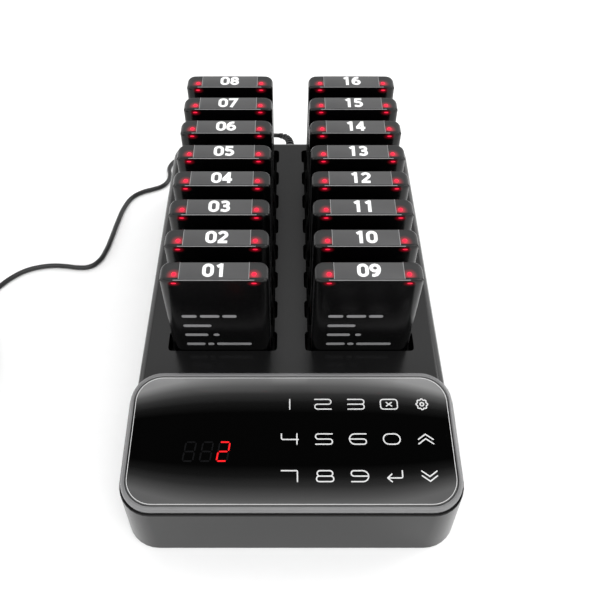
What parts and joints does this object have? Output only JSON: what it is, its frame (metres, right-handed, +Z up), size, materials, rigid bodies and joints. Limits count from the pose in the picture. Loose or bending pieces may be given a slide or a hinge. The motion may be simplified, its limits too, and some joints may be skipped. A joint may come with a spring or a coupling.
{
  "type": "guest pager set",
  "caption": "Black charging base with a tilted touch keypad and rows of upright numbered guest pagers with red lamps, fed by a thin lead from a wall adapter.",
  "frame": {"origin": "on the table, below the middle of the base", "axes": "+Z up; +Y from the keypad to the back of the base; +X to the right of a person who faces the keypad"},
  "size_m": [0.371, 0.3357, 0.1168],
  "materials": {
    "housing": "fine moulded texture, satin black",
    "bottom_cover": "fine moulded texture",
    "bezel": "satin dark grey",
    "touch_glass": "polished black glass with light printed key numerals and symbols",
    "circuit_board": "green solder mask",
    "display": "red seven-segment digits, the last one lit",
    "copper": "bare copper alloy",
    "black_part": "moulded black",
    "gold": "gold plated",
    "wire": "red insulated wire",
    "steel": "zinc-plated steel",
    "rubber": "soft black rubber",
    "cord": "satin black flexible jacket",
    "adapter": "fine spark texture, black",
    "prong_metal": "nickel plated",
    "pager_front": "mirror-polished black with light printed bars in place of wording",
    "pager_shell": "satin black, with a dark grey label that carries the pager's number",
    "battery": "foil pouch",
    "lamp": "lit red lamp"
  },
  "bodies": {
    "base": {"base_housing": "housing", "base_bottom": "bottom_cover", "keypad_bezel": "bezel", "touch_glass": "touch_glass", "touch_sensor": "circuit_board", "display_module": "display", "control_board": "circuit_board", "antenna": "copper", "key_beeper": "black_part", "dc_jack": "black_part", "charge_board_left": "circuit_board", "charge_board_right": "circuit_board", "charge_pins": "gold", "wire_harness": "wire", "screws": "steel", "rubber_feet": "rubber", "cord_plug": "cord", "power_cord": "cord", "cord_coil": "cord", "wall_adapter": "adapter", "adapter_prongs": "prong_metal"},
    "pager_01": {"pager_01_front_cover": "pager_front", "pager_01_rear_cover": "pager_shell", "pager_01_board": "circuit_board", "pager_01_battery": "battery", "pager_01_motor": "steel", "pager_01_buzzer": "black_part", "pager_01_contacts": "gold", "pager_01_lenses": "lamp"},
    "pager_02": {"pager_02_front_cover": "pager_front", "pager_02_rear_unit": "pager_shell"},
    "pager_03": {"pager_03_front_cover": "pager_front", "pager_03_rear_unit": "pager_shell"},
    "pager_04": {"pager_04_front_cover": "pager_front", "pager_04_rear_unit": "pager_shell"},
    "pager_05": {"pager_05_front_cover": "pager_front", "pager_05_rear_unit": "pager_shell"},
    "pager_06": {"pager_06_front_cover": "pager_front", "pager_06_rear_unit": "pager_shell"},
    "pager_07": {"pager_07_front_cover": "pager_front", "pager_07_rear_unit": "pager_shell"},
    "pager_08": {"pager_08_front_cover": "pager_front", "pager_08_rear_unit": "pager_shell"},
    "pager_09": {"pager_09_front_cover": "pager_front", "pager_09_rear_unit": "pager_shell"},
    "pager_10": {"pager_10_front_cover": "pager_front", "pager_10_rear_unit": "pager_shell"},
    "pager_11": {"pager_11_front_cover": "pager_front", "pager_11_rear_unit": "pager_shell"},
    "pager_12": {"pager_12_front_cover": "pager_front", "pager_12_rear_unit": "pager_shell"},
    "pager_13": {"pager_13_front_cover": "pager_front", "pager_13_rear_unit": "pager_shell"},
    "pager_14": {"pager_14_front_cover": "pager_front", "pager_14_rear_unit": "pager_shell"},
    "pager_15": {"pager_15_front_cover": "pager_front", "pager_15_rear_unit": "pager_shell"},
    "pager_16": {"pager_16_front_cover": "pager_front", "pager_16_rear_unit": "pager_shell"},
    "motor_weight_01": {"pager_01_motor_weight": "copper"}
  },
  "joints": [
    {"name": "pager_01_lift", "type": "slide", "parent": "base", "child": "pager_01", "axis": [0, 0, 1], "range_m": [0, 0.06]},
    {"name": "pager_02_lift", "type": "slide", "parent": "base", "child": "pager_02", "axis": [0, 0, 1], "range_m": [0, 0.06]},
    {"name": "pager_03_lift", "type": "slide", "parent": "base", "child": "pager_03", "axis": [0, 0, 1], "range_m": [0, 0.06]},
    {"name": "pager_04_lift", "type": "slide", "parent": "base", "child": "pager_04", "axis": [0, 0, 1], "range_m": [0, 0.06]},
    {"name": "pager_05_lift", "type": "slide", "parent": "base", "child": "pager_05", "axis": [0, 0, 1], "range_m": [0, 0.06]},
    {"name": "pager_06_lift", "type": "slide", "parent": "base", "child": "pager_06", "axis": [0, 0, 1], "range_m": [0, 0.06]},
    {"name": "pager_07_lift", "type": "slide", "parent": "base", "child": "pager_07", "axis": [0, 0, 1], "range_m": [0, 0.06]},
    {"name": "pager_08_lift", "type": "slide", "parent": "base", "child": "pager_08", "axis": [0, 0, 1], "range_m": [0, 0.06]},
    {"name": "pager_09_lift", "type": "slide", "parent": "base", "child": "pager_09", "axis": [0, 0, 1], "range_m": [0, 0.06]},
    {"name": "pager_10_lift", "type": "slide", "parent": "base", "child": "pager_10", "axis": [0, 0, 1], "range_m": [0, 0.06]},
    {"name": "pager_11_lift", "type": "slide", "parent": "base", "child": "pager_11", "axis": [0, 0, 1], "range_m": [0, 0.06]},
    {"name": "pager_12_lift", "type": "slide", "parent": "base", "child": "pager_12", "axis": [0, 0, 1], "range_m": [0, 0.06]},
    {"name": "pager_13_lift", "type": "slide", "parent": "base", "child": "pager_13", "axis": [0, 0, 1], "range_m": [0, 0.06]},
    {"name": "pager_14_lift", "type": "slide", "parent": "base", "child": "pager_14", "axis": [0, 0, 1], "range_m": [0, 0.06]},
    {"name": "pager_15_lift", "type": "slide", "parent": "base", "child": "pager_15", "axis": [0, 0, 1], "range_m": [0, 0.06]},
    {"name": "pager_16_lift", "type": "slide", "parent": "base", "child": "pager_16", "axis": [0, 0, 1], "range_m": [0, 0.06]},
    {"name": "motor_spin_01", "type": "hinge", "parent": "pager_01", "child": "motor_weight_01", "pos_m": [-0.0412, -0.0366, 0.09], "axis": [1, 0, 0], "continuous": true}
  ]
}
